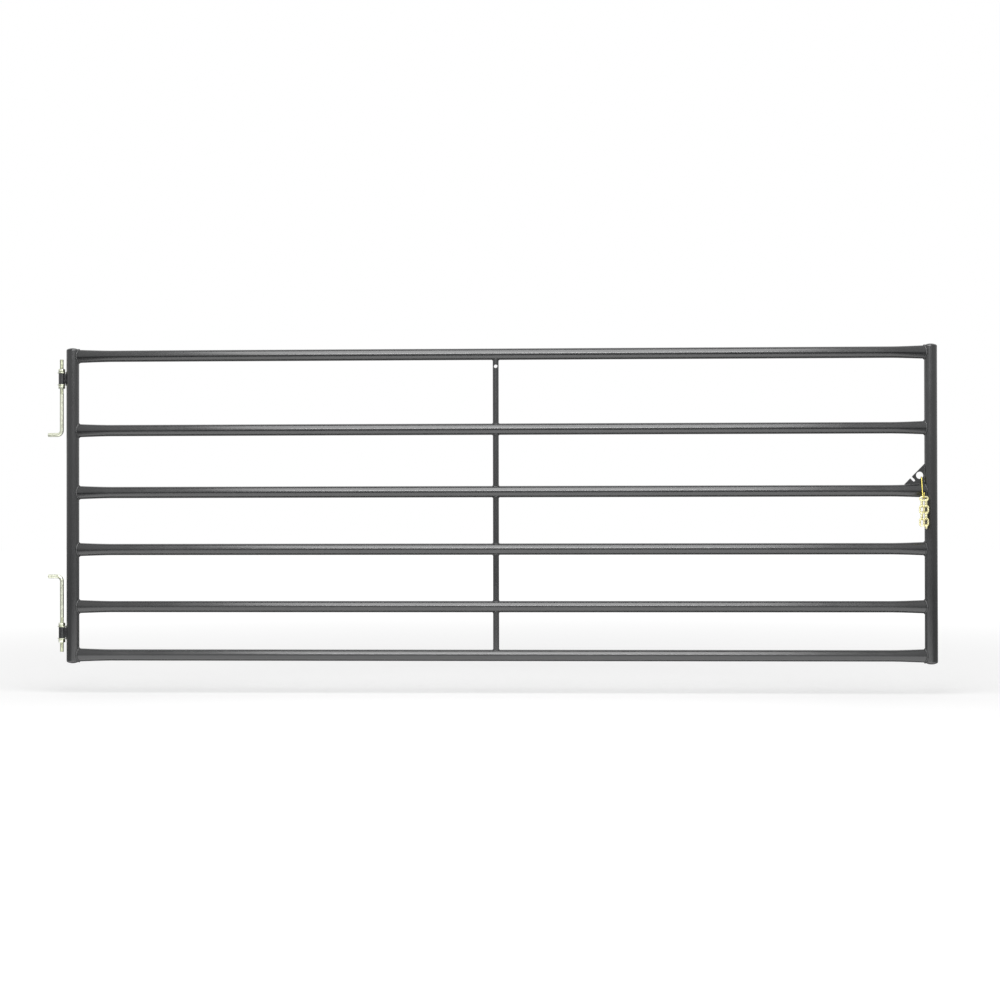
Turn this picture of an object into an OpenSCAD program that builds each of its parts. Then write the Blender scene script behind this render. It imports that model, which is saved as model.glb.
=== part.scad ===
// Six-rail tubular field gate with hook hinges and a chain latch.
// Millimetres. X runs along the gate from the hinge axis, Y away from the front face, Z up.
// The origin is on the hinge axis, level with the bottom of the stiles.

/* [Frame] */
// Length over the outer faces of the two stiles
gate_l = 3480; // [1800:10:4900]
// Outside diameter of the stile tube
stile_d = 50.8; // [46:0.1:60]
// Wall of the stile tube
stile_wall = 1.65; // [1:0.05:3]
// Outside diameter of the rail tube
rail_d = 45.5; // [36:0.1:46]
// Wall of the rail tube
rail_wall = 1.25; // [1:0.05:2.5]
// Clear gap under rail 1
gap_1 = 254; // [160:1:320]
// Clear gap under rail 2
gap_2 = 204; // [140:1:300]
// Clear gap under rail 3
gap_3 = 184; // [180:1:300]
// Clear gap under rail 4
gap_4 = 184; // [140:1:300]
// Clear gap under rail 5
gap_5 = 149; // [120:1:260]
// From each end of a stile to the nearest rail's edge
rail_inset = 11; // [8:0.5:30]

/* [Rail ends] */
// Height of the pressed rail end at the stile
rail_end_h = 53; // [46:0.5:58]
// Depth of the pressed rail end at the stile
rail_end_depth = 36.6; // [32:0.1:45]
// Length over which the rail end is pressed
rail_end_l = 130; // [80:5:200]

/* [Brace] */
// Outside diameter of the brace tube
brace_d = 24; // [18:0.5:32]
// Wall of the brace tube
brace_wall = 1.5; // [1:0.1:2.5]
// Offset of the brace from the middle of the gate
brace_shift = -8; // [-200:1:200]
// Diameter of the cross hole in the top brace
brace_hole_d = 15; // [6:0.5:16]
// From the top rail's axis to the cross hole
brace_hole_drop = 48; // [40:1:120]

/* [Stile caps] */
// Crown radius of a cap
cap_crown_r = 50; // [34:1:80]
// Knuckle radius at a cap's rim
cap_knuckle_r = 7; // [4:0.5:9]
// Wall of a cap
cap_wall = 2; // [1:0.1:3]
// Length of a cap's skirt inside the tube
cap_skirt = 14; // [8:1:25]
// Clearance of the skirt in the tube
cap_fit = 0.1; // [0.05:0.05:0.4]

/* [Hinge lugs] */
// From the hinge stile's axis to the hinge axis
hinge_offset = 45; // [43:0.5:60]
// From a stile end to the middle of its collar
lug_inset = 124; // [100:1:200]
// Outside diameter of a collar
collar_d = 25.4; // [24:0.1:30]
// Height of a collar
collar_h = 44.5; // [30:0.5:60]
// Thickness of the web between collar and stile
web_t = 8; // [4:0.5:12]
// Height of the web on the stile
web_foot_h = 56; // [46:1:70]
// Step of the web below the collar's ends
web_step = 2; // [1:0.5:5]

/* [Hooks] */
// Diameter of the hook rod
rod_d = 15.875; // [12:0.005:16]
// Radial clearance of the rod in its collar
rod_fit = 0.08; // [0.02:0.01:0.1]
// From a collar's outer end to the threaded tip
rod_tip = 55.75; // [40:0.25:90]
// From the threaded tip to the axis of the bent leg
hook_l = 304; // [220:1:330]
// Reach of the leg from the rod's axis
leg_reach = 55.5; // [45:0.5:90]
// Centre-line radius of the bend
hook_bend_r = 19; // [16:0.5:24]
// Chamfer on the rod ends
rod_chamfer = 1.6; // [0.5:0.1:3]
// Hexagon nut, across flats
nut_af = 23.8; // [22:0.1:27]
// Height of a nut
nut_h = 13.9; // [8:0.1:18]
// Outside diameter of a washer
washer_d = 33.3; // [30:0.1:38]
// Thickness of a washer
washer_t = 3; // [1.5:0.1:4]
// Clearance of nuts and washers on the rod
thread_fit = 0.05; // [0.02:0.01:0.3]

/* [Chain catch] */
// Length of the catch plate's two square edges
catch_leg = 80; // [72:1:110]
// Thickness of the catch plate
catch_t = 5; // [4:0.1:8]
// Diameter of the hanger hole
catch_hole_d = 28.2; // [24:0.2:30]
// Hole centre from the stile's face
catch_hole_x = 19; // [17:0.5:24]
// Hole centre above the rail
catch_hole_z = 35; // [32:0.5:40]
// Width of the link slot
slot_w = 9; // [7:0.5:11]
// Depth of the link slot from the slanted edge
slot_depth = 20; // [12:0.5:22]
// Slot position along the slanted edge, from its lower end
slot_along = 39; // [32:0.5:44]

/* [Hanger] */
// Wire diameter of the hanger
hanger_d = 4.8; // [4:0.1:6]
// Centre-line radius of the upper bend
hanger_top_r = 8.4; // [8:0.1:10]
// Centre-line radius of the lower bend
hanger_low_r = 18; // [17:0.1:22]
// Hanger position to the right of the hole's centre
hanger_shift = 7; // [2:0.5:7]
// Top of the chain below the axis of rail 3
chain_drop = 22; // [16:1:50]

/* [Chain] */
// Wire diameter of a link
link_d = 4.9; // [4:0.05:5]
// Inside length of a link
link_l = 25.4; // [25:0.1:28]
// Inside width of a link
link_w = 10.2; // [10:0.1:11]
// Links in each hanging strand
strand_links = 4; // [2:1:8]
// Half the distance between neighbouring strands
strand_half = 8.1; // [8.1:0.05:8.6]
// Offset of the chain to the right of the hanger
chain_shift = 2.2; // [0:0.1:2.4]

/* [Clearances] */
// Root gap at the welded joints
weld_gap = 0.2; // [0.1:0.05:0.5]
// Running gap between pieces that move past each other
run_gap = 0.3; // [0.2:0.05:0.6]

/* [Hidden] */
$fn = 64;

paint = "#505256";
zinc = "#d9dccb";
yellow_zinc = "#d8c98a";
hull_sides = 32;
slice = 0.01;
past = 1;

// Frame places
stile_r = stile_d / 2;
rail_r = rail_d / 2;
gaps = [gap_1, gap_2, gap_3, gap_4, gap_5];
function sum_to(list, n) = n <= 0 ? 0 : list[n - 1] + sum_to(list, n - 1);
rails = len(gaps) + 1;
gate_h = 2 * rail_inset + rails * rail_d + sum_to(gaps, len(gaps));
function rail_z(i) = gate_h - rail_inset - rail_r - i * rail_d - sum_to(gaps, i);
hinge_x = hinge_offset;
latch_x = hinge_x + gate_l - stile_d;
latch_face_x = latch_x - stile_r;
brace_x = (hinge_x + latch_x) / 2 + brace_shift;

// Pressed rail end: half height and half depth at a distance from the stile's face
function end_half_h(d) = rail_r + (rail_end_h / 2 - rail_r) * (1 - d / rail_end_l);
function end_half_depth(d) = rail_r + (rail_end_depth / 2 - rail_r) * (1 - d / rail_end_l);

// Domed cap: the crown's centre lies below the rim
cap_crown_z = -sqrt(pow(cap_crown_r - cap_knuckle_r, 2) - pow(stile_r - cap_knuckle_r, 2));
cap_h = cap_crown_r + cap_crown_z;

// Hinge places
upper_lug_z = gate_h - lug_inset;
lower_lug_z = lug_inset;
rod_r = rod_d / 2;
collar_bore_r = rod_r + rod_fit;

// Catch plate places
catch_z = rail_z(2);
catch_base_z = catch_z + end_half_h(0) + weld_gap;
catch_toe_z = catch_z + end_half_h(catch_leg) + weld_gap;
hole_x = latch_face_x - catch_hole_x;
hole_z = catch_z + end_half_h(catch_hole_x) + catch_hole_z;

// Hanger: a bend over the hole's edge, a shank that leans on the rail, and a wide lower bend
hanger_r = hanger_d / 2;
hanger_x = hole_x + hanger_shift;
hanger_edge_z = hole_z - sqrt(pow(catch_hole_d / 2, 2) - pow(hanger_shift + hanger_r, 2));
hanger_in_r = hanger_top_r - hanger_r;
hanger_top_z = hanger_edge_z + run_gap - sqrt(pow(hanger_in_r, 2) - pow(catch_t / 2, 2));
lean_rise = hanger_top_z - catch_z;
lean_room = hanger_top_r - hanger_r - run_gap;
lean_depth = end_half_depth(latch_face_x - hanger_x);
lean_height = end_half_h(latch_face_x - hanger_x);
lean_a = pow(lean_rise, 2) - pow(lean_height, 2) + pow(lean_depth, 2);
lean_b = lean_rise * lean_room;
lean_c = pow(lean_room, 2) - pow(lean_depth, 2);
shank_lean = asin((sqrt(lean_b * lean_b - lean_a * lean_c) - lean_b) / lean_a);
link_seat_r = hanger_low_r - hanger_r - link_d / 2 - run_gap;
seat_angle = asin(strand_half / link_seat_r);
hanger_low_z = catch_z - chain_drop - link_d / 2 + link_seat_r * cos(seat_angle);
shank_l = (lean_rise - (hanger_low_z - catch_z) + (hanger_top_r + hanger_low_r) * sin(shank_lean))
    / cos(shank_lean);
hanger_low_y = -(hanger_top_r + hanger_low_r) * cos(shank_lean) - shank_l * sin(shank_lean);
hanger_tip_angle = 20;

// Chain places
link_half_w = (link_w + link_d) / 2;
link_straight = link_l - link_w;
link_pitch = link_l - run_gap;
link_span = link_l + link_d;
link_seat = link_d + 2 * run_gap;
chain_x = hanger_x + chain_shift;
turn_z = hanger_low_z - link_seat_r * cos(seat_angle) - link_half_w;
strand_top_z = turn_z - link_half_w + link_seat;
strand_end_z = strand_top_z - (strand_links - 1) * link_pitch - link_span;
low_turn_z = strand_end_z + link_seat - link_half_w;
strand_roll = 70;

// Upright tube of a stile, open at both ends
module stile(x) {
    color(paint)
        translate([x, 0, cap_h])
            difference() {
                cylinder(h = gate_h - 2 * cap_h, r = stile_r);
                translate([0, 0, -past])
                    cylinder(h = gate_h, r = stile_r - stile_wall);
            }
}

// Half section of a dished end: crown, knuckle and the fill between them
module dish_section(inset) {
    crown_r = cap_crown_r - inset;
    knuckle_r = cap_knuckle_r - inset;
    knuckle_x = stile_r - cap_knuckle_r;
    reach = 2 * crown_r / (cap_crown_r - cap_knuckle_r);
    intersection() {
        translate([0, cap_crown_z])
            circle(crown_r);
        polygon([[0, 0], [0, cap_crown_r], [knuckle_x * reach, cap_crown_z - cap_crown_z * reach],
            [knuckle_x, 0]]);
    }
    intersection() {
        translate([knuckle_x, 0])
            circle(knuckle_r);
        square([stile_r + past, cap_knuckle_r + past]);
    }
}

// Domed cap with a skirt, sitting on the top end of a stile tube
module cap_shape() {
    skirt_r = stile_r - stile_wall - cap_fit;
    difference() {
        rotate_extrude()
            dish_section(0);
        rotate_extrude()
            dish_section(cap_wall);
    }
    translate([0, 0, -cap_skirt])
        difference() {
            cylinder(h = cap_skirt + cap_wall, r = skirt_r);
            translate([0, 0, -past])
                cylinder(h = cap_skirt + cap_wall + 2 * past, r = skirt_r - cap_wall);
        }
}

module top_cap(x) {
    color(paint)
        translate([x, 0, gate_h - cap_h])
            cap_shape();
}

module bottom_cap(x) {
    color(paint)
        translate([x, 0, cap_h])
            mirror([0, 0, 1])
                cap_shape();
}

// One pressed end of a rail along +X, from the oval at the stile's axis to the round tube, which it meets
// a little inside the tube's edge
module rail_end(inset) {
    edge = 0.1;
    hull() {
        translate([stile_r + rail_end_l - slice, 0, 0])
            rotate([0, 90, 0])
                cylinder(h = slice, r = rail_r - inset - edge, $fn = hull_sides);
        rotate([0, 90, 0])
            scale([end_half_h(-stile_r) - inset, end_half_depth(-stile_r) - inset, 1])
                cylinder(h = slice, r = 1, $fn = hull_sides);
    }
}

module rail_form(inset) {
    straight_x = hinge_x + stile_r + rail_end_l;
    translate([straight_x, 0, 0])
        rotate([0, 90, 0])
            cylinder(h = gate_l - 2 * stile_d - 2 * rail_end_l, r = rail_r - inset);
    translate([hinge_x, 0, 0])
        rail_end(inset);
    translate([latch_x, 0, 0])
        mirror([1, 0, 0])
            rail_end(inset);
}

// Rail tube, coped to both stiles
module rail(i) {
    color(paint)
        difference() {
            translate([0, 0, rail_z(i)])
                rail_form(0);
            translate([0, 0, rail_z(i)])
                rail_form(rail_wall);
            for (x = [hinge_x, latch_x])
                translate([x, 0, rail_z(i) - rail_end_h])
                    cylinder(h = 2 * rail_end_h, r = stile_r + weld_gap);
        }
}

// Brace tube between rail i and the next rail, coped to both
module brace(i) {
    color(paint)
        difference() {
            translate([brace_x, 0, rail_z(i + 1)])
                cylinder(h = rail_z(i) - rail_z(i + 1), d = brace_d);
            translate([brace_x, 0, rail_z(i + 1) - past])
                cylinder(h = rail_z(i) - rail_z(i + 1) + 2 * past, r = brace_d / 2 - brace_wall);
            for (k = [i, i + 1])
                translate([brace_x - brace_d, 0, rail_z(k)])
                    rotate([0, 90, 0])
                        cylinder(h = 2 * brace_d, r = rail_r + weld_gap);
            if (i == 0)
                translate([brace_x, -brace_d, rail_z(0) - brace_hole_drop])
                    rotate([-90, 0, 0])
                        cylinder(h = 2 * brace_d, d = brace_hole_d);
        }
}

module hinge_collar(z) {
    color(paint)
        translate([0, 0, z - collar_h / 2])
            difference() {
                cylinder(h = collar_h, d = collar_d);
                translate([0, 0, -past])
                    cylinder(h = collar_h + 2 * past, r = collar_bore_r);
            }
}

// Web plate, wider at the stile, coped to the collar and the stile
module hinge_web(z) {
    near_h = collar_h / 2 - web_step;
    rise_x = washer_d / 2 + 2 * run_gap;
    color(paint)
        difference() {
            translate([0, web_t / 2, z])
                rotate([90, 0, 0])
                    linear_extrude(web_t)
                        polygon([[0, -near_h], [rise_x, -near_h], [hinge_x - stile_r, -web_foot_h / 2],
                            [hinge_x, -web_foot_h / 2], [hinge_x, web_foot_h / 2],
                            [hinge_x - stile_r, web_foot_h / 2], [rise_x, near_h], [0, near_h]]);
            translate([0, 0, z - web_foot_h])
                cylinder(h = 2 * web_foot_h, r = collar_d / 2 + weld_gap);
            translate([hinge_x, 0, z - web_foot_h])
                cylinder(h = 2 * web_foot_h, r = stile_r + weld_gap);
        }
}

// Hook with its threaded tip up and its leg pointing away from the gate
module hook_shape() {
    straight = hook_l - hook_bend_r;
    translate([0, 0, -rod_chamfer])
        cylinder(h = rod_chamfer, r1 = rod_r, r2 = rod_r - rod_chamfer);
    translate([0, 0, -straight])
        cylinder(h = straight - rod_chamfer, r = rod_r);
    translate([-hook_bend_r, 0, -straight])
        rotate([-90, 0, 0])
            rotate_extrude(angle = 90)
                translate([hook_bend_r, 0])
                    circle(rod_r);
    translate([-hook_bend_r, 0, -hook_l])
        rotate([0, -90, 0]) {
            cylinder(h = leg_reach - hook_bend_r - rod_chamfer, r = rod_r);
            translate([0, 0, leg_reach - hook_bend_r - rod_chamfer])
                cylinder(h = rod_chamfer, r1 = rod_r, r2 = rod_r - rod_chamfer);
        }
}

module upper_hook() {
    color(zinc)
        translate([0, 0, upper_lug_z + collar_h / 2 + rod_tip])
            hook_shape();
}

module lower_hook() {
    color(zinc)
        translate([0, 0, lower_lug_z - collar_h / 2 - rod_tip])
            mirror([0, 0, 1])
                hook_shape();
}

// side is 1 above the collar and -1 below it
module washer(lug_z, side) {
    color(zinc)
        translate([0, 0, lug_z + side * (collar_h / 2 + run_gap + washer_t / 2)])
            difference() {
                cylinder(h = washer_t, d = washer_d, center = true);
                cylinder(h = washer_t + 2 * past, r = rod_r + thread_fit, center = true);
            }
}

// Hexagon nut with chamfered corners
module nut(lug_z, side) {
    corner_r = nut_af / 2 / cos(30);
    bevel = corner_r - nut_af / 2;
    color(zinc)
        translate([0, 0, lug_z + side * (collar_h / 2 + run_gap + washer_t + nut_h / 2)])
            difference() {
                intersection() {
                    cylinder(h = nut_h, r = corner_r, center = true, $fn = 6);
                    rotate_extrude()
                        polygon([[0, -nut_h / 2], [nut_af / 2, -nut_h / 2], [corner_r + bevel, bevel - nut_h / 2],
                            [corner_r + bevel, nut_h / 2 - bevel], [nut_af / 2, nut_h / 2], [0, nut_h / 2]]);
                }
                cylinder(h = nut_h + 2 * past, r = rod_r + thread_fit, center = true);
            }
}

// Three-cornered catch plate with the hanger hole and the link slot
module catch_plate() {
    right_x = latch_face_x - weld_gap;
    slope = atan2(catch_leg, catch_leg);
    color(paint)
        translate([0, catch_t / 2, 0])
            rotate([90, 0, 0])
                linear_extrude(catch_t)
                    difference() {
                        polygon([[right_x, catch_base_z], [right_x, catch_base_z + catch_leg],
                            [right_x - catch_leg, catch_toe_z]]);
                        translate([hole_x, hole_z])
                            circle(d = catch_hole_d);
                        translate([right_x - catch_leg, catch_toe_z])
                            rotate(slope)
                                translate([slot_along, -slot_depth]) {
                                    translate([-slot_w / 2, slot_w / 2])
                                        square([slot_w, slot_depth]);
                                    translate([0, slot_w / 2])
                                        circle(d = slot_w);
                                }
                    }
}

// Arc of round wire in the YZ plane that starts on +Y and turns towards +Z
module wire_arc(radius, sweep) {
    rotate([90, 0, 90])
        rotate_extrude(angle = sweep)
            translate([radius, 0])
                circle(hanger_r);
}

// Wire hanger: hooked in the plate's hole, leaning on the rail, with a bend that carries the chain
module chain_hanger() {
    color(yellow_zinc)
        translate([hanger_x, 0, hanger_top_z])
            rotate([-shank_lean, 0, 0]) {
                mirror([0, 1, 0])
                    wire_arc(hanger_top_r, 180 - shank_lean);
                translate([0, -hanger_top_r, -shank_l])
                    cylinder(h = shank_l, r = hanger_r);
                translate([0, -hanger_top_r - hanger_low_r, -shank_l])
                    mirror([0, 0, 1])
                        wire_arc(hanger_low_r, 180 + hanger_tip_angle - shank_lean);
            }
}

// One welded link in the XZ plane, hanging with its top wire's centre at the origin
module link() {
    translate([0, 0, -link_span / 2]) {
        for (side = [-1, 1])
            translate([side * link_half_w, 0, -link_straight / 2])
                cylinder(h = link_straight, d = link_d);
        for (turn = [0, 180])
            rotate([0, turn, 0])
                translate([0, 0, link_straight / 2])
                    rotate([90, 0, 0])
                        rotate_extrude(angle = 180)
                            translate([link_half_w, 0])
                                circle(d = link_d);
    }
}

// side_x and side_y are -1 or 1: left or right, front or back
module chain_strand(side_x, side_y) {
    color(yellow_zinc)
        translate([chain_x + side_x * strand_half, hanger_low_y + side_y * strand_half, strand_top_z])
            for (i = [0 : strand_links - 1])
                translate([0, 0, -i * link_pitch])
                    rotate(i % 2 == 0 ? strand_roll : strand_roll - 90)
                        link();
}

// A link lying level, its plane turned about Z by turn
module level_link(x, y, z, turn) {
    color(yellow_zinc)
        translate([x, y, z])
            rotate(turn)
                rotate([0, 90, 0])
                    translate([0, 0, link_span / 2])
                        link();
}

stile(hinge_x);  // hinge_stile
stile(latch_x);  // latch_stile
top_cap(hinge_x);  // hinge_stile_top_cap
bottom_cap(hinge_x);  // hinge_stile_bottom_cap
top_cap(latch_x);  // latch_stile_top_cap
bottom_cap(latch_x);  // latch_stile_bottom_cap
for (i = [0 : rails - 1])
    rail(i);
for (i = [0 : rails - 2])
    brace(i);
hinge_collar(upper_lug_z);  // upper_hinge_collar
hinge_collar(lower_lug_z);  // lower_hinge_collar
hinge_web(upper_lug_z);  // upper_hinge_web
hinge_web(lower_lug_z);  // lower_hinge_web
upper_hook();
lower_hook();
nut(upper_lug_z, 1);  // upper_hook_nut_a
nut(upper_lug_z, -1);  // upper_hook_nut_b
nut(lower_lug_z, 1);  // lower_hook_nut_a
nut(lower_lug_z, -1);  // lower_hook_nut_b
washer(upper_lug_z, 1);  // upper_hook_washer_a
washer(upper_lug_z, -1);  // upper_hook_washer_b
washer(lower_lug_z, 1);  // lower_hook_washer_a
washer(lower_lug_z, -1);  // lower_hook_washer_b
catch_plate();
chain_hanger();
chain_strand(-1, -1);  // chain_strand_front_left
chain_strand(1, -1);  // chain_strand_front_right
chain_strand(1, 1);  // chain_strand_back_right
chain_strand(-1, 1);  // chain_strand_back_left
level_link(chain_x, hanger_low_y - strand_half, turn_z, 0);  // chain_turn_front
level_link(chain_x, hanger_low_y + strand_half, turn_z, 0);  // chain_turn_back
level_link(chain_x + strand_half, hanger_low_y, low_turn_z, 90);  // chain_turn_bottom
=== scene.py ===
"""Six-rail tubular field gate with hook hinges and a chain latch: finishes, welds, light and camera."""
import random
from math import cos, hypot, pi, radians, sin, sqrt

import bpy
from mathutils import Matrix, Vector


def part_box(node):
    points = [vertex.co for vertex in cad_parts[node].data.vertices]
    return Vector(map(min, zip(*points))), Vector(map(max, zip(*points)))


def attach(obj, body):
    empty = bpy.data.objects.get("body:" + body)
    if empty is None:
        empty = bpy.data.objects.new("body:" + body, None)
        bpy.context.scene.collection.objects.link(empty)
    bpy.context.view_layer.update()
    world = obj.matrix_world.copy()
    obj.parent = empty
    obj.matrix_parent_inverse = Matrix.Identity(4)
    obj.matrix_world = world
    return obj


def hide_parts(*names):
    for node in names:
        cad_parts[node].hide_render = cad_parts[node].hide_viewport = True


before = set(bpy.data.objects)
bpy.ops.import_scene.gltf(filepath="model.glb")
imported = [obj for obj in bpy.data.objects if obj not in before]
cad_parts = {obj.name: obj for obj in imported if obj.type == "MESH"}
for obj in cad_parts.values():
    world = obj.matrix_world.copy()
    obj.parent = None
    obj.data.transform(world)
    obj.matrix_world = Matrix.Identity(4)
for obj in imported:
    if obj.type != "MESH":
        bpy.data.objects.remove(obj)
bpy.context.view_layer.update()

MM = 0.001
MERGE_BELOW = 0.002 * MM

# Frame tubes
STILE_R = 25.4 * MM
RAIL_R = 22.75 * MM
BRACE_R = 12 * MM
BRACE_WALL = 1.5 * MM
BRACE_HOLE_R = 7.5 * MM
BRACE_HOLE_DROP = 48 * MM
HINGE_X = 45 * MM
LATCH_X = 3474.2 * MM
BRACE_X = 1751.6 * MM
RAIL_NODES = [f"rail_{i}" for i in range(1, 7)]
BRACE_NODES = [f"brace_{i}" for i in range(1, 6)]

# Pressed rail ends: half height and half depth at the stile's face, the length that is pressed and its curve
END_HALF_H = 26.5 * MM
END_HALF_DEPTH = 18.3 * MM
END_L = 130 * MM
END_STEP = 15 * MM
END_CURVE = 1.4

# Hook rods: their axis is X = Y = 0, and the upper rod's tip and leg are at these heights
ROD_R = 7.9375 * MM
ROD_TIP_Z = 1224 * MM
ROD_CHAMFER = 1.6 * MM
LEG_Z = 920 * MM
LEG_TIP_X = -55.5 * MM
HOOK_BEND_R = 19 * MM
THREAD_L = 140 * MM
THREAD_PITCH = 25.4 / 11 * MM
THREAD_DEPTH = 1.25 * MM
HOOKS_MID_Z = 635 * MM

# Hinge lugs
LUG_HEIGHTS = {"upper": 1146 * MM, "lower": 124 * MM}
COLLAR_R = 12.7 * MM
COLLAR_HALF_H = 22.25 * MM
WEB_HALF_T = 4 * MM
WEB_STEP = 2 * MM
WEB_FOOT_HALF_H = 28 * MM

# Catch plate: half thickness, the edge along the stile and the toe on the rail
PLATE_HALF_T = 2.5 * MM
PLATE_EDGE_X = 3448.6 * MM
PLATE_LEG = 80 * MM
PLATE_BASE_Z = 713.95 * MM
PLATE_TOE_Z = 711.64 * MM

# Weld beads: half widths and the spacing of their ripples
RAIL_WELD_R = 3.6 * MM
BRACE_WELD_R = 2.4 * MM
WEB_WELD_R = 1.6 * MM
WEB_FOOT_WELD_R = 2.2 * MM
PLATE_WELD_R = 2.4 * MM
WELD_RIPPLE = 3.2 * MM

# The plate's beads: bare lengths at their ends and at its heel, and how far they sit into the rail
PLATE_WELD_BARE = 6 * MM
PLATE_HEEL_BARE = 4 * MM
PLATE_WELD_SINK = 0.4 * MM

# Rounding of the cut edges on the hinge lugs and the catch plate
LUG_ROUNDING = 0.8 * MM
PLATE_ROUNDING = 0.7 * MM

# Chain: weld marks (on 4.9 mm wire), link sizes, where the strands hang and how they roll, turning links
LINK_MARK_R = 2.75 * MM
LINK_MARK_HALF_L = 3.5 * MM
LINK_HALF_W = 7.55 * MM
LINK_PITCH = 25.1 * MM
LINK_SPAN = 30.3 * MM
STRAND_LINKS = 4
STRAND_HALF = 8.1 * MM
STRAND_TOP_Z = 653.2 * MM
STRAND_ROLL = radians(70)
TURN_Z = 655.25 * MM
LOW_TURN_Z = 545.55 * MM
CHAIN_X = 3439 * MM
CHAIN_Y = -46.88 * MM

# Camera, solved from the stiles, rails and hook legs in the photograph
CAMERA_AT = (2.118, -8.0, 0.6017)
CAMERA_YAW = -0.043734
CAMERA_PITCH = 0.006522
CAMERA_ROLL = -0.001856
FOCAL_PX = 2005.6
IMAGE_PX = 1000
SENSOR_MM = 36

# Stage: the floor's height, and the middle of the gate, over which the lamps stand
FLOOR_Z = -0.12
STAGE_X = 1.72

bead_drift = random.Random(7)


def linear(code):
    """An sRGB hex colour as linear RGBA."""
    parts = [int(code[i:i + 2], 16) / 255 for i in (1, 3, 5)]
    return [c / 12.92 if c <= 0.04045 else ((c + 0.055) / 1.055) ** 2.4 for c in parts] + [1]


def add_node(tree, kind, inputs=None, **settings):
    """A node with its settings, and its inputs as values or as links from other sockets."""
    made = tree.nodes.new(kind)
    for name, value in settings.items():
        setattr(made, name, value)
    for name, value in (inputs or {}).items():
        if isinstance(value, bpy.types.NodeSocket):
            tree.links.new(value, made.inputs[name])
        else:
            made.inputs[name].default_value = value
    return made


def select_only(*pieces):
    bpy.ops.object.select_all(action="DESELECT")
    for piece in pieces:
        piece.select_set(True)
    bpy.context.view_layer.objects.active = pieces[0]


def select_points(piece, chosen):
    """Edit mode on a piece, with the vertices selected whose place passes a test."""
    select_only(piece)
    bpy.ops.object.mode_set(mode="EDIT")
    bpy.ops.mesh.select_mode(type="VERT")
    bpy.ops.mesh.select_all(action="DESELECT")
    bpy.ops.object.mode_set(mode="OBJECT")
    for vertex in piece.data.vertices:
        vertex.select = chosen(vertex.co)
    bpy.ops.object.mode_set(mode="EDIT")


def close_mesh(piece, smooth_below=35):
    """Merges doubles, turns the faces outwards and smooths all but the sharp edges."""
    select_points(piece, lambda co: True)
    bpy.ops.mesh.remove_doubles(threshold=MERGE_BELOW)
    bpy.ops.mesh.normals_make_consistent(inside=False)
    bpy.ops.object.mode_set(mode="OBJECT")
    bpy.ops.object.shade_smooth_by_angle(angle=radians(smooth_below))
    return piece


def placed_copy(piece, name, place):
    """A copy with its own mesh, with its place in that mesh."""
    copy = bpy.data.objects.new(name, piece.data.copy())
    bpy.context.scene.collection.objects.link(copy)
    copy.data.transform(place)
    return copy


def discard(*pieces):
    for piece in pieces:
        bpy.data.objects.remove(piece)


def joined(name, pieces):
    select_only(*pieces)
    bpy.ops.object.join()
    whole = bpy.context.object
    whole.name = name
    return whole


def settle(piece, body, slot, material, *nodes):
    """Puts a finished piece on its body, in place of the solids that it stands for."""
    piece.data.materials.clear()
    piece.data.materials.append(material)
    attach(piece, body)
    if nodes:
        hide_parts(*nodes)


def new_material(name):
    material = bpy.data.materials.new(name)
    material.use_nodes = True
    tree = material.node_tree
    tree.nodes.clear()
    place = add_node(tree, "ShaderNodeTexCoord").outputs["Object"]
    return material, tree, place


def polyester_powder_coat():
    """Sprayed and cured powder on steel tube: dark grey, half gloss, a faint orange-peel skin and dust."""
    material, tree, place = new_material("dark grey polyester powder coat")
    # Patches of dust and handling, about 160 mm across
    dust = add_node(tree, "ShaderNodeTexNoise", {"Vector": place, "Scale": 1 / (160 * MM), "Detail": 6.0,
                                                 "Roughness": 0.62})
    tone = add_node(tree, "ShaderNodeValToRGB", {"Fac": dust.outputs["Fac"]})
    tone.color_ramp.elements[0].position = 0.32
    tone.color_ramp.elements[0].color = linear("#242526")
    tone.color_ramp.elements[1].position = 0.72
    tone.color_ramp.elements[1].color = linear("#2c2d2e")
    gloss = add_node(tree, "ShaderNodeMapRange", {"Value": dust.outputs["Fac"],
                                                  "From Min": 0.3, "From Max": 0.7,
                                                  "To Min": 0.2, "To Max": 0.27})
    # Orange peel is 2 to 3 mm across; drawn at 4 mm so that it shows from a step away
    peel = add_node(tree, "ShaderNodeTexNoise", {"Vector": place, "Scale": 1 / (4 * MM), "Detail": 2.0})
    skin = add_node(tree, "ShaderNodeBump", {"Height": peel.outputs["Fac"], "Strength": 0.012,
                                             "Distance": 0.1 * MM})
    resin = add_node(tree, "ShaderNodeBsdfPrincipled", {"Base Color": tone.outputs["Color"],
                                                        "Roughness": gloss.outputs["Result"], "IOR": 1.6,
                                                        "Normal": skin.outputs["Normal"]})
    add_node(tree, "ShaderNodeOutputMaterial", {"Surface": resin.outputs["BSDF"]})
    return material


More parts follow.
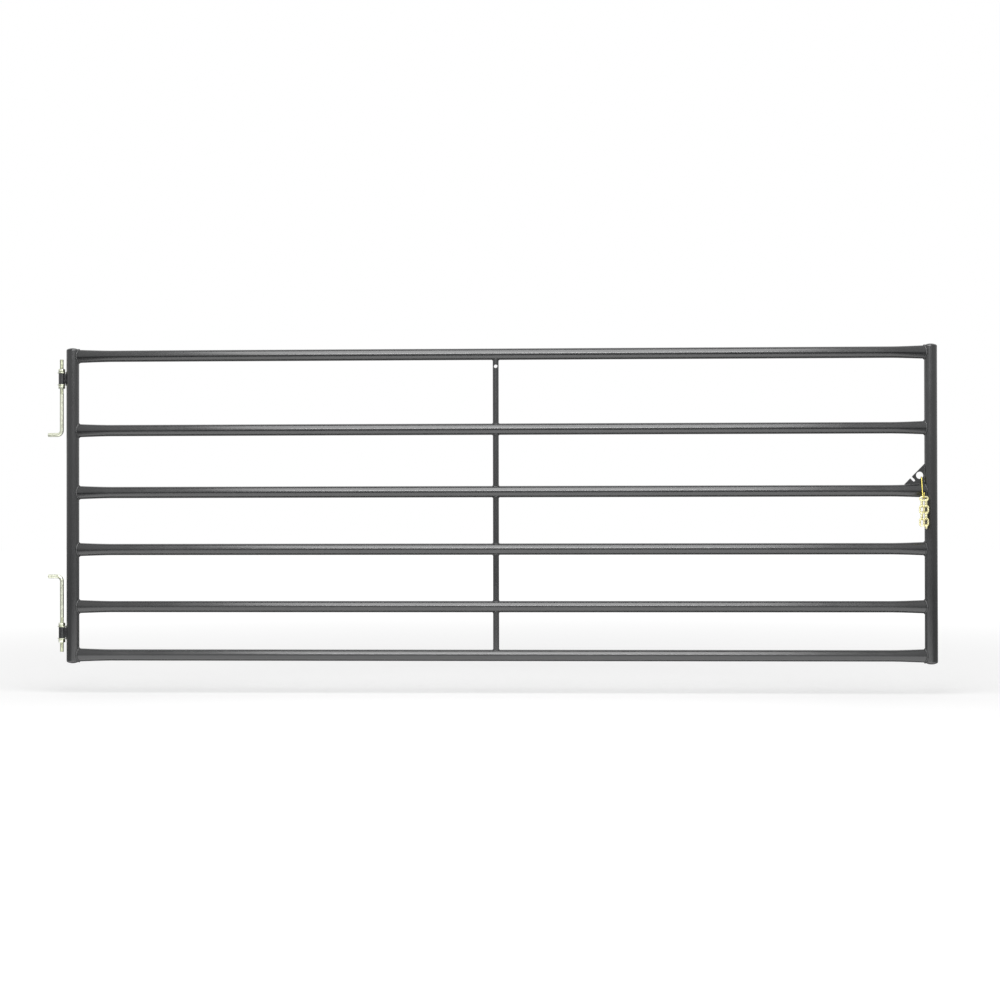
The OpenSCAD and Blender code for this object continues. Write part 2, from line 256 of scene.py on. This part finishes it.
def zinc_plate():
    """Barrel-plated zinc with a clear passivate: a pale, faintly greenish metal with soft cloudy patches."""
    material, tree, place = new_material("clear passivated zinc plate")
    # Clouds in the plating, about 9 mm across
    cloud = add_node(tree, "ShaderNodeTexNoise", {"Vector": place, "Scale": 1 / (9 * MM), "Detail": 5.0,
                                                  "Roughness": 0.6})
    tone = add_node(tree, "ShaderNodeValToRGB", {"Fac": cloud.outputs["Fac"]})
    tone.color_ramp.elements[0].position = 0.3
    tone.color_ramp.elements[0].color = linear("#babda9")
    tone.color_ramp.elements[1].position = 0.7
    tone.color_ramp.elements[1].color = linear("#d8dbca")
    gloss = add_node(tree, "ShaderNodeMapRange", {"Value": cloud.outputs["Fac"],
                                                  "From Min": 0.3, "From Max": 0.7,
                                                  "To Min": 0.3, "To Max": 0.42})
    # Tumbling marks from the barrel, about 0.7 mm across
    marks = add_node(tree, "ShaderNodeTexNoise", {"Vector": place, "Scale": 1 / (0.7 * MM), "Detail": 3.0})
    skin = add_node(tree, "ShaderNodeBump", {"Height": marks.outputs["Fac"], "Strength": 0.06,
                                             "Distance": 0.05 * MM})
    metal = add_node(tree, "ShaderNodeBsdfPrincipled", {"Base Color": tone.outputs["Color"], "Metallic": 1.0,
                                                        "Roughness": gloss.outputs["Result"],
                                                        "Normal": skin.outputs["Normal"]})
    add_node(tree, "ShaderNodeOutputMaterial", {"Surface": metal.outputs["BSDF"]})
    return material


def yellow_zinc(name, pale, deep, dull):
    """Zinc with a yellow passivate: pale gold, with deeper and duller tints every few millimetres."""
    material, tree, place = new_material(name)
    # Tint patches of the passivate, about 7 mm across
    tint = add_node(tree, "ShaderNodeTexNoise", {"Vector": place, "Scale": 1 / (7 * MM), "Detail": 4.0,
                                                 "Roughness": 0.55})
    tone = add_node(tree, "ShaderNodeValToRGB", {"Fac": tint.outputs["Fac"]})
    tone.color_ramp.elements[0].position = 0.3
    tone.color_ramp.elements[0].color = linear(deep)
    tone.color_ramp.elements[1].position = 0.55
    tone.color_ramp.elements[1].color = linear(pale)
    tone.color_ramp.elements.new(0.75).color = linear(dull)
    gloss = add_node(tree, "ShaderNodeMapRange", {"Value": tint.outputs["Fac"],
                                                  "From Min": 0.3, "From Max": 0.7,
                                                  "To Min": 0.34, "To Max": 0.48})
    # Drawing and tumbling marks, about 0.6 mm across
    marks = add_node(tree, "ShaderNodeTexNoise", {"Vector": place, "Scale": 1 / (0.6 * MM), "Detail": 3.0})
    skin = add_node(tree, "ShaderNodeBump", {"Height": marks.outputs["Fac"], "Strength": 0.06,
                                             "Distance": 0.05 * MM})
    metal = add_node(tree, "ShaderNodeBsdfPrincipled", {"Base Color": tone.outputs["Color"], "Metallic": 1.0,
                                                        "Roughness": gloss.outputs["Result"],
                                                        "Normal": skin.outputs["Normal"]})
    add_node(tree, "ShaderNodeOutputMaterial", {"Surface": metal.outputs["BSDF"]})
    return material


coat = polyester_powder_coat()
zinc = zinc_plate()
chain_gold = yellow_zinc("yellow passivated zinc chain", "#e4dfb6", "#c0b77d", "#d8d1a2")
hanger_gold = yellow_zinc("yellow passivated zinc wire", "#c8bb66", "#968a41", "#b5a556")


def middle(node):
    low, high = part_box(node)
    return [(a + b) / 2 for a, b in zip(low, high)]


def finished_copy(node, bevel=0.0):
    """A merged copy of a solid's mesh, with its sharp edges rounded by the bevel."""
    copy = bpy.data.objects.new(f"{node}_finish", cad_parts[node].data.copy())
    bpy.context.scene.collection.objects.link(copy)
    close_mesh(copy)
    if bevel:
        select_points(copy, lambda co: True)
        bpy.ops.mesh.dissolve_limited(angle_limit=radians(0.4))
        bpy.ops.object.mode_set(mode="OBJECT")
        rounding = copy.modifiers.new("edges", "BEVEL")
        rounding.width = bevel
        rounding.segments = 2
        rounding.limit_method = "ANGLE"
        rounding.angle_limit = radians(50)
        bpy.ops.object.modifier_apply(modifier=rounding.name)
        close_mesh(copy)
    return copy


def bar(radius, length, place, turn=(0, 0, 0)):
    """A round bar, to make a piece from or to cut one with."""
    bpy.ops.object.select_all(action="DESELECT")
    bpy.ops.mesh.primitive_cylinder_add(vertices=128, radius=radius, depth=length,
                                        location=place, rotation=turn)
    bpy.ops.object.transform_apply(location=True, rotation=True)
    return bpy.context.object


def slice_across(piece, at, normal):
    """An edge loop where a plane crosses a piece."""
    select_points(piece, lambda co: True)
    bpy.ops.mesh.bisect(plane_co=at, plane_no=normal)
    bpy.ops.object.mode_set(mode="OBJECT")


def cut(piece, *cutters):
    """Takes the cutters out of a piece, and clears them away."""
    for cutter in cutters:
        select_only(piece)
        difference = piece.modifiers.new("cut", "BOOLEAN")
        difference.operation = "DIFFERENCE"
        difference.object = cutter
        bpy.ops.object.modifier_apply(modifier=difference.name)
    discard(*cutters)
    return piece


def pressed_share(distance):
    """How far a rail is pressed at a distance from the stile's face: 0 on the round tube, 1 at the face."""
    return max(0.0, 1 - distance / END_L) ** END_CURVE


def rail_tube():
    """A rail about Z = 0: a round tube whose ends are pressed to an upright oval and coped to the stiles."""
    tube = bar(RAIL_R, LATCH_X - HINGE_X, ((HINGE_X + LATCH_X) / 2, 0, 0), (0, pi / 2, 0))
    rings = {}
    # From the start of the pressing to inside the stile's face, and at the stile's axis
    for distance in [END_L - i * END_STEP for i in range(10)] + [-STILE_R]:
        share = pressed_share(distance)
        rings[HINGE_X + STILE_R + distance] = share
        rings[LATCH_X - STILE_R - distance] = share
    for x in rings:
        slice_across(tube, (x, 0, 0), (1, 0, 0))
    for x, share in rings.items():
        select_points(tube, lambda co: abs(co.x - x) < 0.1 * MM)
        taller = 1 + (END_HALF_H / RAIL_R - 1) * share
        flatter = 1 + (END_HALF_DEPTH / RAIL_R - 1) * share
        bpy.ops.transform.resize(value=(1, flatter, taller), center_override=(x, 0, 0))
        bpy.ops.object.mode_set(mode="OBJECT")
    return close_mesh(cut(tube, *[bar(STILE_R, 6 * RAIL_R, (x, 0, 0)) for x in [HINGE_X, LATCH_X]]))


def brace_tube(name, above, below, holed):
    """A brace between the rails at two heights: a thin tube coped to both, with its cross hole if any."""
    middle_z = (above + below) / 2
    tube = bar(BRACE_R, above - below, (BRACE_X, 0, middle_z))
    tube.name = name
    cutters = [bar(BRACE_R - BRACE_WALL, above - below + BRACE_R, (BRACE_X, 0, middle_z))]
    cutters += [bar(RAIL_R, 4 * BRACE_R, (BRACE_X, 0, z), (0, pi / 2, 0)) for z in [above, below]]
    if holed:
        # Loops above and below the hole keep its cut from spoiling the shading of the long faces
        hole_z = above - BRACE_HOLE_DROP
        for z in [hole_z - 1.2 * BRACE_HOLE_R, hole_z + 1.2 * BRACE_HOLE_R]:
            slice_across(tube, (BRACE_X, 0, z), (0, 0, 1))
        cutters.append(bar(BRACE_HOLE_R, 4 * BRACE_R, (BRACE_X, 0, hole_z), (pi / 2, 0, 0)))
    return close_mesh(cut(tube, *cutters))


def hook_rod():
    """The upper hook: threaded rod, smooth shank, bend and plain leg in one piece."""
    # Leg, bend and shank: a disc at the leg's tip, drawn along, spun round the bend and drawn up
    bpy.ops.object.select_all(action="DESELECT")
    bpy.ops.mesh.primitive_circle_add(vertices=48, radius=ROD_R, fill_type="NGON",
                                      location=(LEG_TIP_X, 0, LEG_Z), rotation=(0, pi / 2, 0))
    rod = bpy.context.object
    bpy.ops.object.transform_apply(location=True, rotation=True)
    bpy.ops.object.mode_set(mode="EDIT")
    bpy.ops.mesh.select_all(action="SELECT")
    bend_x = -HOOK_BEND_R
    bpy.ops.mesh.extrude_region_move(TRANSFORM_OT_translate={"value": (ROD_CHAMFER, 0, 0)})
    leg_l = bend_x - LEG_TIP_X - ROD_CHAMFER
    bpy.ops.mesh.extrude_region_move(TRANSFORM_OT_translate={"value": (leg_l, 0, 0)})
    bpy.ops.mesh.spin(steps=20, angle=pi / 2, center=(bend_x, 0, LEG_Z + HOOK_BEND_R), axis=(0, 1, 0))
    shank_top = ROD_TIP_Z - THREAD_L
    bpy.ops.mesh.extrude_region_move(
        TRANSFORM_OT_translate={"value": (0, 0, shank_top - LEG_Z - HOOK_BEND_R)})
    bpy.ops.object.mode_set(mode="OBJECT")
    select_points(rod, lambda co: abs(co.x - LEG_TIP_X) < 0.1 * MM)
    narrow = 1 - ROD_CHAMFER / ROD_R
    bpy.ops.transform.resize(value=(1, narrow, narrow), center_override=(LEG_TIP_X, 0, LEG_Z))
    bpy.ops.object.mode_set(mode="OBJECT")
    # Thread: one pitch of its profile, screwed up the rod, then cut square at both ends
    flat = THREAD_PITCH / 8
    root = ROD_R - THREAD_DEPTH
    steps = [(root, 0), (root, flat), (ROD_R, THREAD_PITCH / 2), (ROD_R, THREAD_PITCH / 2 + flat),
             (root, THREAD_PITCH)]
    profile = bpy.data.meshes.new("thread")
    profile.from_pydata([(r, 0, z) for r, z in steps], [(i, i + 1) for i in range(len(steps) - 1)], [])
    thread = bpy.data.objects.new("thread", profile)
    bpy.context.scene.collection.objects.link(thread)
    profile.transform(Matrix.Translation((0, 0, shank_top - 2 * THREAD_PITCH)))
    select_only(thread)
    winding = thread.modifiers.new("winding", "SCREW")
    winding.screw_offset = THREAD_PITCH
    winding.iterations = int(THREAD_L / THREAD_PITCH) + 4
    winding.steps = winding.render_steps = 32
    winding.use_merge_vertices = True
    bpy.ops.object.modifier_apply(modifier=winding.name)
    for z, up in [(ROD_TIP_Z, 1), (shank_top - 0.5 * MM, -1)]:
        select_points(thread, lambda co: True)
        bpy.ops.mesh.bisect(plane_co=(0, 0, z), plane_no=(0, 0, up), use_fill=True, clear_outer=True)
        bpy.ops.object.mode_set(mode="OBJECT")
    # The tip's chamfer takes the crests off the last turn
    for vertex in thread.data.vertices:
        allowed = ROD_R - max(0.0, vertex.co.z - ROD_TIP_Z + ROD_CHAMFER)
        reach = hypot(vertex.co.x, vertex.co.y)
        if reach > allowed:
            vertex.co.x *= allowed / reach
            vertex.co.y *= allowed / reach
    return close_mesh(joined("upper_hook_rod", [rod, thread]))


def weld_bead(path, radius):
    """A run of weld along a path, with ripples that drift a little in size, as laid by hand."""
    run = bpy.data.curves.new("bead", "CURVE")
    run.dimensions = "3D"
    run.bevel_depth = radius
    run.bevel_resolution = 3
    run.use_fill_caps = True
    line = run.splines.new("POLY")
    line.points.add(len(path) - 1)
    travelled = 0.0
    size = 1.0
    for i, place in enumerate(path):
        if i:
            travelled += (Vector(place) - Vector(path[i - 1])).length
        # The size wanders by up to 3 % at each point, and a quarter of the way back
        size += 0.25 * (1 - size) + bead_drift.uniform(-0.03, 0.03)
        line.points[i].co = (*place, 1)
        line.points[i].radius = size * (0.86 + 0.2 * abs(sin(pi * travelled / WELD_RIPPLE)))
    bead = bpy.data.objects.new("bead", run)
    bpy.context.scene.collection.objects.link(bead)
    select_only(bead)
    bpy.ops.object.convert(target="MESH")
    return close_mesh(bpy.context.object, smooth_below=80)


def stretch(start, end, step=0.8 * MM):
    """Points along a straight line."""
    start, end = Vector(start), Vector(end)
    count = max(2, int((end - start).length / step))
    return [start.lerp(end, i / count) for i in range(count + 1)]


def rail_end_path(x, side, z, points=180):
    """Round the oval end of a rail, on the stile's surface."""
    turns = [2 * pi * i / points for i in range(points + 1)]
    return [(x + side * sqrt(STILE_R ** 2 - (END_HALF_DEPTH * sin(t)) ** 2), END_HALF_DEPTH * sin(t),
             z + END_HALF_H * cos(t)) for t in turns]


def brace_end_path(z, side, points=100):
    """Round the end of a brace, on the rail's surface."""
    turns = [2 * pi * i / points for i in range(points + 1)]
    return [(BRACE_X + BRACE_R * cos(t), BRACE_R * sin(t),
             z + side * sqrt(RAIL_R ** 2 - (BRACE_R * sin(t)) ** 2)) for t in turns]


def on_frame(piece, *nodes):
    settle(piece, "gate_frame", "powder_coat", coat, *nodes)


def link_weld(place, turn=(0, 0, 0)):
    """The slight swelling where a link's wire was butt-welded, halfway along a straight side."""
    bpy.ops.object.select_all(action="DESELECT")
    bpy.ops.mesh.primitive_uv_sphere_add(segments=24, ring_count=12, radius=1, location=place, rotation=turn)
    mark = bpy.context.object
    mark.scale = (LINK_MARK_R, LINK_MARK_R, LINK_MARK_HALF_L)
    bpy.ops.object.transform_apply(location=True, rotation=True, scale=True)
    return close_mesh(mark)


# Rails, one modelled and six placed, with the weld round each end
rail = rail_tube()
for node in RAIL_NODES:
    z = middle(node)[2]
    on_frame(placed_copy(rail, f"{node}_tube", Matrix.Translation((0, 0, z))), node)
    ends = [weld_bead(rail_end_path(x, side, z), RAIL_WELD_R) for x, side in [(HINGE_X, 1), (LATCH_X, -1)]]
    on_frame(joined(f"{node}_welds", ends))
discard(rail)

# Stiles and their caps
for stile in ["hinge_stile", "latch_stile"]:
    on_frame(finished_copy(stile), stile)
    for end in ["top", "bottom"]:
        cap = f"{stile}_{end}_cap"
        on_frame(finished_copy(cap), cap)

# Brace, with the weld at both ends of each piece
for i, node in enumerate(BRACE_NODES):
    above, below = middle(RAIL_NODES[i])[2], middle(RAIL_NODES[i + 1])[2]
    on_frame(brace_tube(f"{node}_tube", above, below, i == 0), node)
    ends = [weld_bead(brace_end_path(z, side), BRACE_WELD_R) for z, side in [(above, -1), (below, 1)]]
    on_frame(joined(f"{node}_welds", ends))

# Hinge lugs, with upright welds down both faces of each web
for level, z in LUG_HEIGHTS.items():
    on_frame(finished_copy(f"{level}_hinge_collar", LUG_ROUNDING), f"{level}_hinge_collar")
    on_frame(finished_copy(f"{level}_hinge_web", LUG_ROUNDING), f"{level}_hinge_web")
    near_x = sqrt(COLLAR_R ** 2 - WEB_HALF_T ** 2)
    foot_x = HINGE_X - sqrt(STILE_R ** 2 - WEB_HALF_T ** 2)
    near_h = COLLAR_HALF_H - WEB_STEP
    runs = []
    for y in [-WEB_HALF_T, WEB_HALF_T]:
        for x, half_h, radius in [(near_x, near_h, WEB_WELD_R), (foot_x, WEB_FOOT_HALF_H, WEB_FOOT_WELD_R)]:
            runs.append(weld_bead(stretch((x, y, z - half_h), (x, y, z + half_h)), radius))
    on_frame(joined(f"{level}_hinge_welds", runs))

# Catch plate, with welds on both faces along the rail and the stile
on_frame(finished_copy("catch_plate", PLATE_ROUNDING), "catch_plate")
runs = []
for y in [-PLATE_HALF_T, PLATE_HALF_T]:
    toe = (PLATE_EDGE_X - PLATE_LEG + PLATE_WELD_BARE, y, PLATE_TOE_Z - PLATE_WELD_SINK)
    heel = (PLATE_EDGE_X - PLATE_HEEL_BARE, y, PLATE_BASE_Z - PLATE_WELD_SINK)
    runs.append(weld_bead(stretch(toe, heel), PLATE_WELD_R))
    foot = (PLATE_EDGE_X, y, PLATE_BASE_Z + PLATE_WELD_BARE)
    head = (PLATE_EDGE_X, y, PLATE_BASE_Z + PLATE_LEG - PLATE_WELD_BARE)
    runs.append(weld_bead(stretch(foot, head), PLATE_WELD_R))
on_frame(joined("catch_plate_welds", runs))

# Hooks: the lower one is the upper one turned over, so that both threads are right-handed
upper_rod = hook_rod()
turned_over = (Matrix.Translation((0, 0, HOOKS_MID_Z)) @ Matrix.Rotation(pi, 4, "X")
               @ Matrix.Translation((0, 0, -HOOKS_MID_Z)))
lower_rod = placed_copy(upper_rod, "lower_hook_rod", turned_over)
for level, rod in [("upper", upper_rod), ("lower", lower_rod)]:
    settle(rod, f"{level}_hook", "zinc_plate", zinc, f"{level}_hook")
    for part in ["nut_a", "nut_b", "washer_a", "washer_b"]:
        node = f"{level}_hook_{part}"
        settle(finished_copy(node), f"{level}_hook", "zinc_plate", zinc, node)

# Hanger and chain
settle(finished_copy("chain_hanger"), "chain_hanger", "yellow_zinc", hanger_gold, "chain_hanger")
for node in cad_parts:
    if node.startswith(("chain_strand", "chain_turn")):
        settle(finished_copy(node), "chain", "yellow_zinc", chain_gold, node)

# Weld marks: on alternate sides down each strand, and under the middle of each turning link
marks = []
for x in [CHAIN_X - STRAND_HALF, CHAIN_X + STRAND_HALF]:
    for y in [CHAIN_Y - STRAND_HALF, CHAIN_Y + STRAND_HALF]:
        for i in range(STRAND_LINKS):
            roll = STRAND_ROLL + pi if i % 2 == 0 else STRAND_ROLL - pi / 2
            marks.append(link_weld((x + LINK_HALF_W * cos(roll), y + LINK_HALF_W * sin(roll),
                                    STRAND_TOP_Z - i * LINK_PITCH - LINK_SPAN / 2)))
for y in [CHAIN_Y - STRAND_HALF, CHAIN_Y + STRAND_HALF]:
    marks.append(link_weld((CHAIN_X, y, TURN_Z - LINK_HALF_W), (0, pi / 2, 0)))
marks.append(link_weld((CHAIN_X + STRAND_HALF, CHAIN_Y, LOW_TURN_Z - LINK_HALF_W), (pi / 2, 0, 0)))
settle(joined("chain_weld_marks", marks), "chain", "yellow_zinc", chain_gold)

# Camera at the photograph's viewing angle
camera = bpy.data.objects.new("camera", bpy.data.cameras.new("camera"))
bpy.context.scene.collection.objects.link(camera)
camera.data.sensor_width = SENSOR_MM
camera.data.lens = FOCAL_PX / IMAGE_PX * SENSOR_MM
camera.matrix_world = (Matrix.Translation(CAMERA_AT) @ Matrix.Rotation(-CAMERA_YAW, 4, "Z")
                       @ Matrix.Rotation(pi / 2 + CAMERA_PITCH, 4, "X")
                       @ Matrix.Rotation(CAMERA_ROLL, 4, "Z"))
bpy.context.scene.camera = camera

# Pale floor
bpy.ops.object.select_all(action="DESELECT")
bpy.ops.mesh.primitive_plane_add(size=60, location=(LATCH_X / 2, 0, FLOOR_Z))
floor = bpy.context.object
floor_white, tree, place = new_material("matt white studio floor")
matt = add_node(tree, "ShaderNodeBsdfDiffuse", {"Color": linear("#c4c4c4")})
# Where the lamps don't reach, the floor is lifted for the camera, so that it runs into the white room
apart = add_node(tree, "ShaderNodeVectorMath", {0: place}, operation="LENGTH")
fade = add_node(tree, "ShaderNodeMapRange", {"Value": apart.outputs["Value"],
                                             "From Min": 1.5, "From Max": 7.0,
                                             "To Min": 0.46, "To Max": 0.75})
seen = add_node(tree, "ShaderNodeLightPath")
glow = add_node(tree, "ShaderNodeMath", {0: seen.outputs["Is Camera Ray"], 1: fade.outputs["Result"]},
                operation="MULTIPLY")
lift = add_node(tree, "ShaderNodeEmission", {"Strength": glow.outputs["Value"]})
both = add_node(tree, "ShaderNodeAddShader", {0: matt.outputs["BSDF"], 1: lift.outputs["Emission"]})
add_node(tree, "ShaderNodeOutputMaterial", {"Surface": both.outputs["Shader"]})
floor.data.materials.append(floor_white)

# White room: plain light all round, and white where the camera or a reflection sees it
world = bpy.data.worlds.new("white room")
world.use_nodes = True
bpy.context.scene.world = world
tree = world.node_tree
tree.nodes.clear()
seen = add_node(tree, "ShaderNodeLightPath")
mirrored = add_node(tree, "ShaderNodeMath",
                    {0: seen.outputs["Is Camera Ray"], 1: seen.outputs["Is Glossy Ray"]},
                    operation="MAXIMUM")
direct = add_node(tree, "ShaderNodeMath",
                  {0: mirrored.outputs["Value"], 1: seen.outputs["Is Transmission Ray"]},
                  operation="MAXIMUM")
level = add_node(tree, "ShaderNodeMapRange", {"Value": direct.outputs["Value"],
                                              "To Min": 0.55, "To Max": 1.0})
room = add_node(tree, "ShaderNodeBackground", {"Color": linear("#ffffff"),
                                               "Strength": level.outputs["Result"]})
add_node(tree, "ShaderNodeOutputWorld", {"Surface": room.outputs["Background"]})


def softbox(name, place, target, width, height, watts):
    lamp = bpy.data.lights.new(name, "AREA")
    lamp.shape = "RECTANGLE"
    lamp.size = width
    lamp.size_y = height
    lamp.energy = watts
    box = bpy.data.objects.new(name, lamp)
    bpy.context.scene.collection.objects.link(box)
    box.location = place
    box.rotation_euler = (Vector(target) - Vector(place)).to_track_quat("-Z", "Y").to_euler()
    box.visible_camera = False
    return box


# The key light gives the plain level and the shadow
key = softbox("key box", (STAGE_X, -2.3, 3.0), (STAGE_X, -1.58, 0.7), 3.2, 4.0, 105)
key.visible_glossy = False
# Three boxes only shine in the finishes. A long one above draws the light band along the top of each rail
overhead = softbox("overhead box", (STAGE_X, -2.3, 2.8), (STAGE_X, -1.64, 0.7), 3.2, 4.0, 195)
# A strip at its front edge draws the brighter line just above each rail's middle
strip = softbox("front strip", (STAGE_X, -4.3, 2.75), (STAGE_X, 0, 0.6), 3.2, 0.4, 64)
# A low one in front shines in the undersides, as a white studio floor does
low = softbox("low box", (STAGE_X, -1.3, FLOOR_Z + 0.02), (STAGE_X, -1.3, 1), 4.0, 2.6, 58)
for shine in [overhead, strip, low]:
    shine.visible_diffuse = False


def black_flag(name, place, width, depth):
    """A black cloth that only reflections see, so that the tubes get a dark band beside their light line."""
    bpy.ops.object.select_all(action="DESELECT")
    bpy.ops.mesh.primitive_plane_add(size=1, location=place)
    flag = bpy.context.object
    flag.name = name
    flag.scale = (width, depth, 1)
    bpy.ops.object.transform_apply(scale=True)
    cloth, tree, _ = new_material("black studio cloth")
    nap = add_node(tree, "ShaderNodeBsdfDiffuse", {"Color": linear("#0c0c0c")})
    add_node(tree, "ShaderNodeOutputMaterial", {"Surface": nap.outputs["BSDF"]})
    flag.data.materials.append(cloth)
    flag.visible_camera = flag.visible_diffuse = flag.visible_shadow = flag.visible_transmission = False


black_flag("floor flag", (1.75, -6.4, FLOOR_Z + 0.005), 9, 7.6)

bpy.context.scene.view_settings.view_transform = "Standard"
